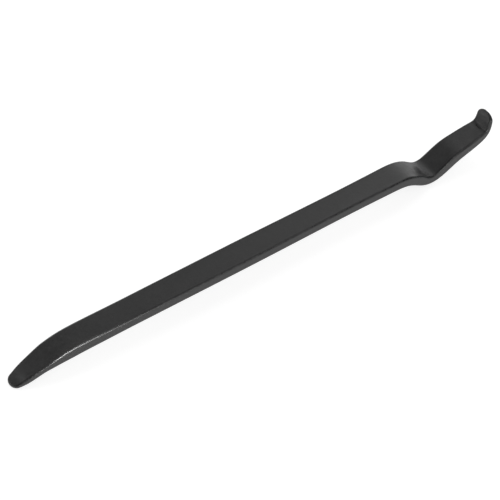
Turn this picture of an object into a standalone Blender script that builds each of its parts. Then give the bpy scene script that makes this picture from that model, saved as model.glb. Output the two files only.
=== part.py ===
"""Tyre lever: one drop-forged steel bar, 600 mm overall.

A flat 31 x 12 mm shank runs to a spoon at the -X end, tapered and turned down,
and to a joggle at the +X end: a crest, a valley, a short arm and a small tongue
turned up as a hook.  Metres, +X towards the hook, +Y across the width, +Z up.
The lever lies as it would on a bench, on its spoon nose and the underside of the
valley, with the origin on the bench under the middle of its bounding box.
"""

from math import cos, pi, radians, sin

import bmesh
import bpy
import numpy as np

MM = 0.001

# Driving dimensions, in millimetres and degrees.
# S is the developed length along the mid-line, from the end of the spoon nose.
LENGTH = 625.1  # developed length of the bar
SHANK_WIDTH = 31.0
SHANK_THICKNESS = 12.0
SHANK_FROM, SHANK_TO = 146.0, 461.0  # S: the flat, straight part of the shank
EDGE_RADIUS = 2.5  # forged radius on the four long edges

NOSE_SLOPE = 12.5  # slope of the mid-line at the end of the spoon
# Bends of the mid-line: S of the middle, angle turned (+ is upward), length it takes.
SPOON_BENDS = [
    (10.0, 8.5, 22.0),
    (43.0, -13.5, 51.0),
    (71.5, -7.5, 62.0),
]
CREST_BEND = (490.7, -39.5, 55.5)
VALLEY_BEND = (521.1, 66.3, 47.5)
ARM_BEND = (558.2, -13.9, 29.0)
HOOK_BENDS = [
    (601.1, 17.5, 45.5),
    (604.3, 49.0, 23.0),
]

# Width and thickness at stations along S.
WIDTH = [
    (0.0, 15.9),
    (16.0, 22.4),
    (31.0, 25.9),
    (46.0, 28.5),
    (72.0, 29.7),
    (134.0, 30.6),
    (268.0, SHANK_WIDTH),
    (412.0, 29.2),
    (495.0, 30.5),
    (538.0, 30.3),
    (562.0, 28.9),
    (583.0, 27.0),
    (609.0, 23.2),
    (619.0, 22.4),
    (LENGTH, 20.0),
]
THICKNESS = [
    (0.0, 4.2),
    (20.0, 8.2),
    (35.0, 8.6),
    (51.0, 11.7),
    (72.0, 14.0),
    (98.0, 13.4),
    (144.0, SHANK_THICKNESS),
    (461.0, SHANK_THICKNESS),
    (495.0, 12.5),
    (524.0, 10.7),
    (541.0, 12.0),
    (557.0, 13.1),
    (574.0, 12.3),
    (593.0, 11.0),
    (607.0, 6.9),
    (616.0, 5.7),
    (LENGTH, 2.7),
]
NOSE_ROUND = 5.8  # the spoon's outline is rounded off over this length
HOOK_ROUND = 7.4
END_ROUND = 1.6  # both ends are rounded through the thickness over this length

# Shallow scoop in the inner face of the hook tongue; its root bows towards the arm.
SCOOP_DEPTH = 1.2
SCOOP_ROOT = 600.4  # S where it starts on the centre line
SCOOP_BOW = 4.8  # it starts this much later at the edges
SCOOP_RUN = 2.4
SCOOP_WIDTH = 0.84  # of the local width

CORNER_STEPS = 4
FACE_STEPS = 6
MATERIAL_COLOUR = (0.040, 0.040, 0.042, 1.0)


def smooth(t):
    """Ramp from 0 to 1 whose rate is a raised cosine."""
    t = np.clip(t, 0.0, 1.0)
    return t - np.sin(2 * pi * t) / (2 * pi)


def rounding(d, reach):
    """Quarter-ellipse factor that closes a bar off at its end."""
    u = np.clip(d / reach, 0.0, 1.0)
    return np.sqrt(np.clip(1 - (1 - u) ** 2, 0.0, 1.0))


def law(table, s):
    """Monotone cubic through the stations of a table."""
    x, y = np.array(table, float).T
    h, m = np.diff(x), np.diff(y) / np.diff(x)
    d = np.zeros_like(x)
    for i in range(1, len(x) - 1):
        if m[i - 1] * m[i] > 0:
            a, b = 2 * h[i] + h[i - 1], h[i] + 2 * h[i - 1]
            d[i] = (a + b) / (a / m[i - 1] + b / m[i])
    d[0], d[-1] = m[0], m[-1]
    k = np.clip(np.searchsorted(x, s, side="right") - 1, 0, len(h) - 1)
    t = (s - x[k]) / h[k]
    return (
        (1 + 2 * t) * (1 - t) ** 2 * y[k]
        + t * (1 - t) ** 2 * h[k] * d[k]
        + t * t * (3 - 2 * t) * y[k + 1]
        + t * t * (t - 1) * h[k] * d[k + 1]
    )


def mid_line(s):
    """x, z and slope of the mid-line at each S, with the shank level."""
    fine = np.linspace(0.0, LENGTH, 6001)
    slope = np.full_like(fine, NOSE_SLOPE)
    for middle, turn, length in SPOON_BENDS + [CREST_BEND, VALLEY_BEND, ARM_BEND] + HOOK_BENDS:
        slope += turn * smooth((fine - middle) / length + 0.5)
    slope = np.radians(slope)
    step = fine[1] - fine[0]
    x = np.r_[0.0, np.cumsum(np.cos(slope[1:]) + np.cos(slope[:-1])) * step / 2]
    z = np.r_[0.0, np.cumsum(np.sin(slope[1:]) + np.sin(slope[:-1])) * step / 2]
    return np.interp(s, fine, x), np.interp(s, fine, z), np.interp(s, fine, slope)


def stations():
    near_end = np.array([0.04, 0.25, 0.6, 1.1, 1.8, 2.7, 3.8, 5.2, 7.0, 9.5])
    spoon = np.arange(13.0, 100.0, 3.6)
    shank = [112.0, 128.0, SHANK_FROM, 205.0, 268.0, 340.0, 412.0, SHANK_TO]
    joggle = np.arange(466.0, 600.0, 2.3)
    hook = np.arange(600.5, LENGTH - 8.0, 1.7)
    return np.r_[near_end, spoon, shank, joggle, hook, LENGTH - near_end[-2::-1]]


def section(half_width, half_thickness, s):
    """Rounded rectangle as (across, up) pairs, anticlockwise seen from the spoon."""
    r = min(EDGE_RADIUS, 0.98 * half_width, 0.98 * half_thickness)
    a, b = half_width - r, half_thickness - r
    corners = [(a, b, 0.0), (-a, b, 90.0), (-a, -b, 180.0), (a, -b, 270.0)]
    points = []
    for number, (cy, cz, start) in enumerate(corners):
        for i in range(CORNER_STEPS + 1):
            t = radians(start + 90.0 * i / CORNER_STEPS)
            points.append((cy + r * cos(t), cz + r * sin(t)))
        if number == 0:  # points across the top face
            for i in range(1, FACE_STEPS):
                y = a * (1 - 2 * i / FACE_STEPS)
                v = y / (half_width * SCOOP_WIDTH)
                start_s = SCOOP_ROOT + SCOOP_BOW * v * v
                fade = smooth((s - start_s) / SCOOP_RUN) * smooth((LENGTH - 2.0 - s) / 8.0)
                points.append((y, half_thickness - SCOOP_DEPTH * max(0.0, 1 - v * v) * fade))
    return points


def lever_rings():
    s = stations()
    x, z, slope = mid_line(s)
    width = law(WIDTH, s) * rounding(s, NOSE_ROUND) * rounding(LENGTH - s, HOOK_ROUND)
    thickness = law(THICKNESS, s) * rounding(s, END_ROUND) * rounding(LENGTH - s, END_ROUND)
    rings = []
    for i in range(len(s)):
        q = np.array(section(width[i] / 2, thickness[i] / 2, s[i]))
        rings.append(np.c_[x[i] - q[:, 1] * sin(slope[i]), q[:, 0], z[i] + q[:, 1] * cos(slope[i])])
    return np.array(rings)


def lie_on_bench(p):
    """Turn the lever about Y until spoon and valley both touch, then set the origin."""
    for _ in range(4):
        flat = p.reshape(-1, 3)
        left = flat[flat[:, 0] < flat[:, 0].mean()]
        right = flat[flat[:, 0] >= flat[:, 0].mean()]
        a, b = left[left[:, 2].argmin()], right[right[:, 2].argmin()]
        t = np.arctan2(b[2] - a[2], b[0] - a[0])
        x, z = p[..., 0].copy(), p[..., 2].copy()
        p[..., 0], p[..., 2] = cos(t) * x + sin(t) * z, -sin(t) * x + cos(t) * z
    low, high = p.reshape(-1, 3).min(0), p.reshape(-1, 3).max(0)
    return p - np.array([(low[0] + high[0]) / 2, 0.0, low[2]])


def build_lever():
    rings = lie_on_bench(lever_rings()) * MM
    shape = bmesh.new()
    loops = [[shape.verts.new(point) for point in ring] for ring in rings]
    for one, two in zip(loops, loops[1:]):
        for j in range(len(one)):
            k = (j + 1) % len(one)
            shape.faces.new((one[j], one[k], two[k], two[j]))
    shape.faces.new(loops[0][::-1])
    shape.faces.new(loops[-1])
    bmesh.ops.recalc_face_normals(shape, faces=shape.faces)
    mesh = bpy.data.meshes.new("lever")
    shape.to_mesh(mesh)
    shape.free()
    lever = bpy.data.objects.new("lever", mesh)
    bpy.context.scene.collection.objects.link(lever)
    mesh.shade_smooth()
    mesh.set_sharp_from_angle(angle=radians(35.0))
    material = bpy.data.materials.new("black_coated_steel")
    material.use_nodes = True
    shader = material.node_tree.nodes["Principled BSDF"]
    shader.inputs["Base Color"].default_value = MATERIAL_COLOUR
    shader.inputs["Metallic"].default_value = 0.0
    shader.inputs["Roughness"].default_value = 0.45
    mesh.materials.append(material)
    return lever


for old in list(bpy.data.objects):
    bpy.data.objects.remove(old, do_unlink=True)
build_lever()
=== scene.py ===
"""Looks for the tyre lever: the fine forged surface, its satin black coat, a pale
floor, soft studio light and the camera."""

import math

import bmesh
import bpy
import numpy as np
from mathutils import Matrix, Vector


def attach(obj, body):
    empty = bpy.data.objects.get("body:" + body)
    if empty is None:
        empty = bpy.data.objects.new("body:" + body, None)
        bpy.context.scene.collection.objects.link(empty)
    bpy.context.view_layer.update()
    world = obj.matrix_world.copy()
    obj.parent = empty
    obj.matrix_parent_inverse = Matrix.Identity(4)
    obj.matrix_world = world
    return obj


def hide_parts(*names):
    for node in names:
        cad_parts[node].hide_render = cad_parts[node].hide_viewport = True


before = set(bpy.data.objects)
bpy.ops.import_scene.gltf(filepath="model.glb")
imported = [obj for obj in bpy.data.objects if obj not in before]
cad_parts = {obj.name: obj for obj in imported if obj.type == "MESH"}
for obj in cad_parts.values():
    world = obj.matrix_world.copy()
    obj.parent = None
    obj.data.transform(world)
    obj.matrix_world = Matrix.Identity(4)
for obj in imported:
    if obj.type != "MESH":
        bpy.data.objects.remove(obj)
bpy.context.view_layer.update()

MM = 0.001

# ---------------------------------------------------------------------------
# The lever's design, as the CAD model has it (millimetres, degrees).
# ---------------------------------------------------------------------------
LENGTH = 625.1
SHANK_WIDTH = 31.0
SHANK_THICKNESS = 12.0
EDGE_RADIUS = 2.5
NOSE_SLOPE = 12.5
BENDS = [
    (10.0, 8.5, 22.0),
    (43.0, -13.5, 51.0),
    (71.5, -7.5, 62.0),
    (490.7, -39.5, 55.5),
    (521.1, 66.3, 47.5),
    (558.2, -13.9, 29.0),
    (601.1, 17.5, 45.5),
    (604.3, 49.0, 23.0),
]
WIDTH = [
    (0.0, 15.9), (16.0, 22.4), (31.0, 25.9), (46.0, 28.5), (72.0, 29.7), (134.0, 30.6),
    (268.0, SHANK_WIDTH), (412.0, 29.2), (495.0, 30.5), (538.0, 30.3), (562.0, 28.9),
    (583.0, 27.0), (609.0, 23.2), (619.0, 22.4), (LENGTH, 20.0),
]
THICKNESS = [
    (0.0, 4.2), (20.0, 8.2), (35.0, 8.6), (51.0, 11.7), (72.0, 14.0), (98.0, 13.4),
    (144.0, SHANK_THICKNESS), (461.0, SHANK_THICKNESS), (495.0, 12.5), (524.0, 10.7), (541.0, 12.0),
    (557.0, 13.1), (574.0, 12.3), (593.0, 11.0), (607.0, 6.9), (616.0, 5.7), (LENGTH, 2.7),
]
NOSE_ROUND, HOOK_ROUND, END_ROUND = 5.8, 7.4, 1.6
SCOOP_DEPTH, SCOOP_ROOT, SCOOP_BOW, SCOOP_RUN, SCOOP_WIDTH = 1.2, 600.4, 4.8, 2.4, 0.84

# Fineness of the visual surface.
CORNER_STEPS = 10
FACE_STEPS = 30
SIDE_STEPS = 10


def smooth(t):
    t = np.clip(t, 0.0, 1.0)
    return t - np.sin(2 * math.pi * t) / (2 * math.pi)


def rounding(d, reach):
    u = np.clip(d / reach, 0.0, 1.0)
    return np.sqrt(np.clip(1 - (1 - u) ** 2, 0.0, 1.0))


def law(table, s):
    x, y = np.array(table, float).T
    h, m = np.diff(x), np.diff(y) / np.diff(x)
    d = np.zeros_like(x)
    for i in range(1, len(x) - 1):
        if m[i - 1] * m[i] > 0:
            a, b = 2 * h[i] + h[i - 1], h[i] + 2 * h[i - 1]
            d[i] = (a + b) / (a / m[i - 1] + b / m[i])
    d[0], d[-1] = m[0], m[-1]
    k = np.clip(np.searchsorted(x, s, side="right") - 1, 0, len(h) - 1)
    t = (s - x[k]) / h[k]
    return (
        (1 + 2 * t) * (1 - t) ** 2 * y[k]
        + t * (1 - t) ** 2 * h[k] * d[k]
        + t * t * (3 - 2 * t) * y[k + 1]
        + t * t * (t - 1) * h[k] * d[k + 1]
    )


def mid_line(s):
    fine = np.linspace(0.0, LENGTH, 6001)
    slope = np.full_like(fine, NOSE_SLOPE)
    for middle, turn, length in BENDS:
        slope += turn * smooth((fine - middle) / length + 0.5)
    slope = np.radians(slope)
    step = fine[1] - fine[0]
    x = np.r_[0.0, np.cumsum(np.cos(slope[1:]) + np.cos(slope[:-1])) * step / 2]
    z = np.r_[0.0, np.cumsum(np.sin(slope[1:]) + np.sin(slope[:-1])) * step / 2]
    return np.interp(s, fine, x), np.interp(s, fine, z), np.interp(s, fine, slope)


def stations():
    end = np.array([0.02, 0.06, 0.13, 0.23, 0.36, 0.52, 0.71, 0.94, 1.2, 1.5, 1.85, 2.25, 2.7, 3.2, 3.8, 4.4, 5.1, 5.8, 6.6, 7.4, 8.2])
    return np.r_[
        end,
        np.arange(9.0, 110.0, 0.9),
        np.arange(110.0, 458.0, 1.6),
        np.arange(458.0, 584.0, 0.8),
        np.arange(584.0, LENGTH - 8.6, 0.45),
        LENGTH - end[::-1],
    ]


def section(a, b, s):
    """Points round one section as (across, up, edge): edge is 1 on a long edge's radius."""
    r = min(EDGE_RADIUS, 0.98 * a, 0.98 * b)
    out = []
    corners = [(a - r, b - r, 0.0), (r - a, b - r, 90.0), (r - a, r - b, 180.0), (a - r, r - b, 270.0)]
    for n, (cy, cz, start) in enumerate(corners):
        for i in range(CORNER_STEPS + 1):
            t = math.radians(start + 90.0 * i / CORNER_STEPS)
            out.append((cy + r * math.cos(t), cz + r * math.sin(t), math.sin(math.pi * i / CORNER_STEPS)))
        steps = FACE_STEPS if n in (0, 2) else SIDE_STEPS
        y0, z0 = out[-1][:2]
        cy, cz, start = corners[(n + 1) % 4]
        t = math.radians(start)
        y1, z1 = cy + r * math.cos(t), cz + r * math.sin(t)
        for i in range(1, steps):
            f = i / steps
            y, z = y0 + (y1 - y0) * f, z0 + (z1 - z0) * f
            if n == 0:  # top: the scoop in the hook tongue
                v = y / (a * SCOOP_WIDTH)
                first = SCOOP_ROOT + SCOOP_BOW * v * v
                fade = smooth((s - first) / SCOOP_RUN) * smooth((LENGTH - 2.0 - s) / 8.0)
                z -= SCOOP_DEPTH * max(0.0, 1 - v * v) * fade
            out.append((y, z, 0.0))
    return np.array(out)


def ripple(s, around, wavelength, seed):
    """Smooth value noise along the bar and round it, between -1 and 1."""
    g = np.random.default_rng(seed)
    cells = int(LENGTH / wavelength) + 4
    grid = g.uniform(-1, 1, (cells, 8))
    u, v = s / wavelength + 1.0, around * 8.0
    i, j = np.floor(u).astype(int), np.floor(v).astype(int)
    fu, fv = u - i, v - j
    fu, fv = fu * fu * (3 - 2 * fu), fv * fv * (3 - 2 * fv)
    i = np.clip(i, 0, cells - 2)
    j0, j1 = j % 8, (j + 1) % 8
    return (grid[i, j0] * (1 - fu) + grid[i + 1, j0] * fu) * (1 - fv) + (grid[i, j1] * (1 - fu) + grid[i + 1, j1] * fu) * fv


def lie_on_bench(p):
    for _ in range(4):
        flat = p.reshape(-1, 3)
        left = flat[flat[:, 0] < flat[:, 0].mean()]
        right = flat[flat[:, 0] >= flat[:, 0].mean()]
        a, b = left[left[:, 2].argmin()], right[right[:, 2].argmin()]
        t = np.arctan2(b[2] - a[2], b[0] - a[0])
        x, z = p[..., 0].copy(), p[..., 2].copy()
        p[..., 0], p[..., 2] = math.cos(t) * x + math.sin(t) * z, -math.sin(t) * x + math.cos(t) * z
    low, high = p.reshape(-1, 3).min(0), p.reshape(-1, 3).max(0)
    return p - np.array([(low[0] + high[0]) / 2, 0.0, low[2]])


def lever_surface():
    s = stations()
    x, z, slope = mid_line(s)
    width = law(WIDTH, s) * rounding(s, NOSE_ROUND) * rounding(LENGTH - s, HOOK_ROUND)
    thickness = law(THICKNESS, s) * rounding(s, END_ROUND) * rounding(LENGTH - s, END_ROUND)
    rings, edge = [], []
    for i in range(len(s)):
        q = section(width[i] / 2, thickness[i] / 2, s[i])
        n = len(q)
        # forging unevenness: a few hundredths to a tenth of a millimetre, fading out at the ends
        quiet = smooth(min(s[i], LENGTH - s[i]) / 14.0)
        turn = np.arange(n) / n
        w = quiet * (
            0.10 * ripple(np.full(n, s[i]), turn, 46.0, 11)
            + 0.045 * ripple(np.full(n, s[i]), turn, 17.0, 12)
        )
        # moved towards or away from the middle of the section through the nearer face
        flat = np.abs(q[:, 1]) / (thickness[i] / 2 + 1e-6) > np.abs(q[:, 0]) / (width[i] / 2 + 1e-6)
        q[:, 1] += np.where(flat, np.sign(q[:, 1]) * w, 0.0)
        rings.append(np.c_[x[i] - q[:, 1] * math.sin(slope[i]), q[:, 0], z[i] + q[:, 1] * math.cos(slope[i])])
        edge.append(q[:, 2])
    return lie_on_bench(np.array(rings)) * MM, np.array(edge), s


def build_lever():
    rings, edge, s = lever_surface()
    count, around = rings.shape[:2]
    index = np.arange(count * around).reshape(count, around)
    nxt = np.roll(index, -1, axis=1)
    quads = np.stack([index[:-1], nxt[:-1], nxt[1:], index[1:]], -1).reshape(-1, 4)
    mesh = bpy.data.meshes.new("lever_body")
    mesh.from_pydata(rings.reshape(-1, 3).tolist(), [], quads.tolist() + [index[0, ::-1].tolist(), index[-1].tolist()])
    mesh.validate()
    mesh.update()
    bm = bmesh.new()
    bm.from_mesh(mesh)
    bmesh.ops.recalc_face_normals(bm, faces=bm.faces)
    bm.to_mesh(mesh)
    bm.free()
    mesh.shade_smooth()
    a = mesh.attributes.new("edge", "FLOAT", "POINT")
    a.data.foreach_set("value", edge.reshape(-1).astype(np.float32))
    body = bpy.data.objects.new("lever_body", mesh)
    bpy.context.scene.collection.objects.link(body)
    return body


# ---------------------------------------------------------------------------
# Materials
# ---------------------------------------------------------------------------
def node(tree, kind, x, y, **values):
    n = tree.nodes.new(kind)
    n.location = (x, y)
    for key, value in values.items():
        if hasattr(n, key):
            setattr(n, key, value)
        else:
            n.inputs[key.replace("_", " ")].default_value = value
    return n


def noise_at(tree, coords, scale, detail, rough, x, y, stretch=(1, 1, 1)):
    m = node(tree, "ShaderNodeMapping", x - 200, y)
    m.inputs["Scale"].default_value = stretch
    tree.links.new(coords, m.inputs["Vector"])
    n = node(tree, "ShaderNodeTexNoise", x, y)
    n.inputs["Scale"].default_value = scale
    n.inputs["Detail"].default_value = detail
    n.inputs["Roughness"].default_value = rough
    tree.links.new(m.outputs[0], n.inputs["Vector"])
    return n.outputs["Fac"]


def ramp(tree, value, stops, x, y):
    r = node(tree, "ShaderNodeMapRange", x, y)
    r.clamp = True
    (a, b), (c, d) = stops
    for name, v in (("From Min", a), ("From Max", c), ("To Min", b), ("To Max", d)):
        r.inputs[name].default_value = v
    tree.links.new(value, r.inputs["Value"])
    return r.outputs["Result"]


def maths(tree, op, a, b, x, y, clamp=False):
    n = node(tree, "ShaderNodeMath", x, y, operation=op)
    n.use_clamp = clamp
    for i, v in enumerate((a, b)):
        if isinstance(v, (int, float)):
            n.inputs[i].default_value = v
        else:
            tree.links.new(v, n.inputs[i])
    return n.outputs[0]


def black_coat():
    m = bpy.data.materials.new("black_coated_steel_fine")
    m.use_nodes = True
    t = m.node_tree
    t.nodes.clear()
    out = node(t, "ShaderNodeOutputMaterial", 900, 0)
    p = node(t, "ShaderNodeBsdfPrincipled", 600, 0)
    t.links.new(p.outputs[0], out.inputs["Surface"])
    p.inputs["Metallic"].default_value = 0.0
    p.inputs["IOR"].default_value = 1.5
    c = node(t, "ShaderNodeTexCoord", -1400, 0).outputs["Object"]
    edge = node(t, "ShaderNodeAttribute", -1000, -500, attribute_name="edge").outputs["Fac"]

    broad = noise_at(t, c, 22.0, 2.0, 0.5, -800, 300, (1.0, 1.6, 1.6))
    medium = noise_at(t, c, 120.0, 3.0, 0.55, -800, 100)
    fine = noise_at(t, c, 420.0, 4.0, 0.65, -800, -100)

    # colour: a near-black coat, a little uneven in depth, thinner on the edges
    tone = maths(t, "ADD", maths(t, "MULTIPLY", broad, 0.3, -560, 300), maths(t, "MULTIPLY", medium, 0.3, -560, 140), -400, 240)
    tone = maths(t, "ADD", tone, maths(t, "MULTIPLY", fine, 0.4, -560, -20), -300, 160)
    mix = node(t, "ShaderNodeMix", 100, 260, data_type="RGBA")
    t.links.new(ramp(t, tone, ((0.42, 0.0), (0.58, 1.0)), -220, 260), mix.inputs["Factor"])
    mix.inputs["A"].default_value = (0.0075, 0.0075, 0.0077, 1)
    mix.inputs["B"].default_value = (0.0130, 0.0130, 0.0131, 1)
    worn = node(t, "ShaderNodeMix", 300, 260, data_type="RGBA")
    t.links.new(mix.outputs["Result"], worn.inputs["A"])
    worn.inputs["B"].default_value = (0.045, 0.045, 0.046, 1)
    t.links.new(maths(t, "MULTIPLY", maths(t, "POWER", edge, 3.0, -400, -500), ramp(t, medium, ((0.45, 0.0), (0.7, 0.55)), -220, -420), 0, -460), worn.inputs["Factor"])
    t.links.new(worn.outputs["Result"], p.inputs["Base Color"])

    # roughness: satin, with a faint cloudiness, smoother where hands polish the edges
    r = ramp(t, tone, ((0.42, 0.38), (0.58, 0.46)), -220, 60)
    r = maths(t, "SUBTRACT", r, maths(t, "MULTIPLY", edge, 0.12, -100, -60), 80, 40)
    t.links.new(r, p.inputs["Roughness"])

    # the spoon's long edges are burnished by rims, so they shine more than the rest
    along = node(t, "ShaderNodeSeparateXYZ", -1000, -700)
    t.links.new(c, along.inputs[0])
    rise = ramp(t, along.outputs["X"], ((-0.285, 0.0), (-0.25, 1.0)), -800, -800)
    fall = ramp(t, along.outputs["X"], ((-0.225, 1.0), (-0.13, 0.0)), -800, -1000)
    burnished = maths(t, "MULTIPLY", edge, maths(t, "MULTIPLY", rise, fall, -600, -800), -400, -640)
    t.links.new(maths(t, "ADD", maths(t, "MULTIPLY", burnished, 0.55, 0, -640), 1.5, 200, -640), p.inputs["IOR"])

    # relief: forging texture under the coat and the coat's own fine grain
    b1 = node(t, "ShaderNodeBump", 200, -200)
    b1.inputs["Strength"].default_value = 0.45
    b1.inputs["Distance"].default_value = 0.0004
    t.links.new(medium, b1.inputs["Height"])
    b2 = node(t, "ShaderNodeBump", 400, -200)
    b2.inputs["Strength"].default_value = 0.45
    b2.inputs["Distance"].default_value = 0.00022
    t.links.new(fine, b2.inputs["Height"])
    t.links.new(b1.outputs[0], b2.inputs["Normal"])
    t.links.new(b2.outputs[0], p.inputs["Normal"])
    return m


GLOW = 0.80  # the floor is a white light table, so the lever leaves almost no shadow


def pale_floor():
    m = bpy.data.materials.new("pale_floor")
    m.use_nodes = True
    p = m.node_tree.nodes["Principled BSDF"]
    p.inputs["Base Color"].default_value = (0.45, 0.45, 0.45, 1)
    p.inputs["Roughness"].default_value = 0.9
    p.inputs["Specular IOR Level"].default_value = 0.1
    p.inputs["Emission Color"].default_value = (1, 1, 1, 1)
    p.inputs["Emission Strength"].default_value = GLOW
    return m


# ---------------------------------------------------------------------------
# The piece
# ---------------------------------------------------------------------------
lever = build_lever()
lever.data.materials.append(black_coat())
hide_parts("lever")
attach(lever, "root")

# ---------------------------------------------------------------------------
# Floor, light and camera
# ---------------------------------------------------------------------------
bpy.ops.mesh.primitive_plane_add(size=14.0, location=(0, 0, -0.0003))
floor = bpy.context.object
floor.name = "floor"
floor.data.materials.append(pale_floor())

world = bpy.data.worlds.new("studio")
bpy.context.scene.world = world
world.use_nodes = True
world.node_tree.nodes["Background"].inputs["Color"].default_value = (1, 1, 1, 1)
world.node_tree.nodes["Background"].inputs["Strength"].default_value = 0.28


def softbox(name, azimuth, elevation, distance, size, power, spread=180.0, aim=(0.0, 0.0, 0.02)):
    """An area light seen from the lever at this azimuth (0 is +X, 90 is +Y) and elevation."""
    a, e = math.radians(azimuth), math.radians(elevation)
    to = Vector((math.cos(a) * math.cos(e), math.sin(a) * math.cos(e), math.sin(e)))
    data = bpy.data.lights.new(name, "AREA")
    data.shape = "RECTANGLE"
    data.size, data.size_y = size
    data.energy = power
    data.spread = math.radians(spread)
    light = bpy.data.objects.new(name, data)
    bpy.context.scene.collection.objects.link(light)
    light.location = Vector(aim) + to * distance
    light.rotation_mode = "QUATERNION"
    light.rotation_quaternion = to.to_track_quat("Z", "Y")
    return light


softbox("back_left", 150, 25, 1.5, (0.6, 0.6), 4.0)
softbox("back", 90, 25, 1.5, (0.6, 0.6), 3.6)
softbox("back_right_low", 36, 14, 1.5, (0.45, 0.4), 1.8)
softbox("right_low", 16, 10, 1.5, (0.4, 0.4), 1.5)
softbox("back_right_high", 45, 55, 1.5, (0.7, 0.7), 1.5)
softbox("right_high", 30, 45, 1.5, (0.5, 0.5), 1.45)
softbox("front_right_high", -45, 55, 1.5, (0.7, 0.7), 1.2)
softbox("front_low", -90, 6, 1.5, (0.3, 0.3), 6.5)
softbox("front", -78, 25, 1.5, (0.8, 0.6), 1.5)
softbox("spoon_edge", -87, 9, 0.9, (0.14, 0.14), 0.03, spread=20.0, aim=(-0.245, -0.014, 0.022))

AZIMUTH, ELEVATION, DISTANCE, FOCAL_PX = -34.61, 47.11, 2.2721, 2200.0
TARGET = Vector((-0.01098, 0.0, 0.02093))
a, e = math.radians(AZIMUTH), math.radians(ELEVATION)
back = Vector((math.sin(a) * math.cos(e), -math.cos(a) * math.cos(e), math.sin(e)))
camera = bpy.data.cameras.new("camera")
camera.sensor_width = 36.0
camera.lens = 36.0 * FOCAL_PX / 500.0
camera.clip_start, camera.clip_end = 0.05, 30.0
view = bpy.data.objects.new("camera", camera)
bpy.context.scene.collection.objects.link(view)
view.location = TARGET + back * DISTANCE
view.rotation_mode = "QUATERNION"
view.rotation_quaternion = (-back).to_track_quat("-Z", "Y")
bpy.context.scene.camera = view

bpy.context.scene.view_settings.view_transform = "Standard"
bpy.context.scene.view_settings.look = "None"
